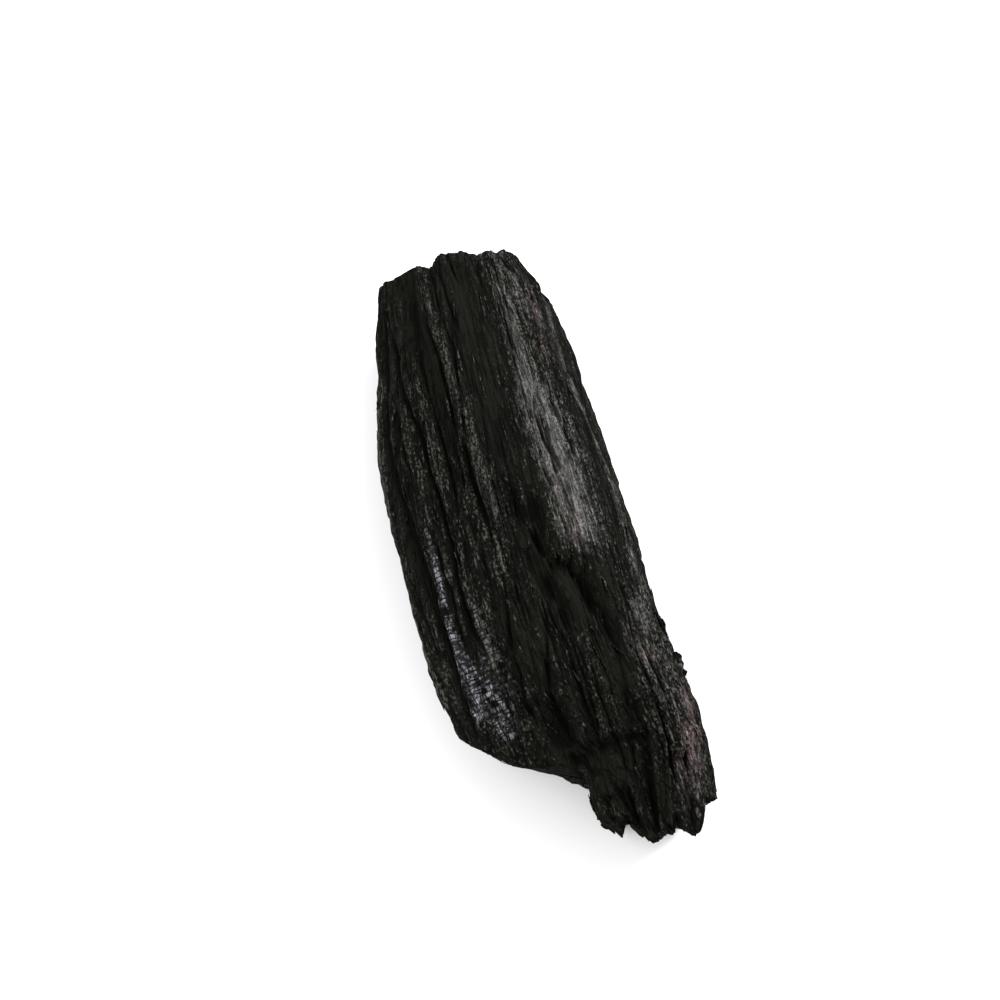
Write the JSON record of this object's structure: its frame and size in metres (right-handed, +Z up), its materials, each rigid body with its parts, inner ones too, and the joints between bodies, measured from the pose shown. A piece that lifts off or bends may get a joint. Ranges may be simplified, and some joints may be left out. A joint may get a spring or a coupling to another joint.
{
  "type": "charcoal lump",
  "caption": "Long lump of hardwood charcoal with furrowed grain, split faces, a slanting break and a jagged end, lying flat.",
  "frame": {"origin": "centre of the bounding box's base, on the surface that the lump lies on", "axes": "+X along the grain towards the jagged end, +Y across the lump towards its unbroken side, +Z up"},
  "size_m": [0.17, 0.0612, 0.0385],
  "materials": {
    "charcoal": "charred, dull with patches of graphite-like sheen"
  },
  "bodies": {
    "root": {"charcoal_lump": "charcoal"}
  },
  "joints": []
}
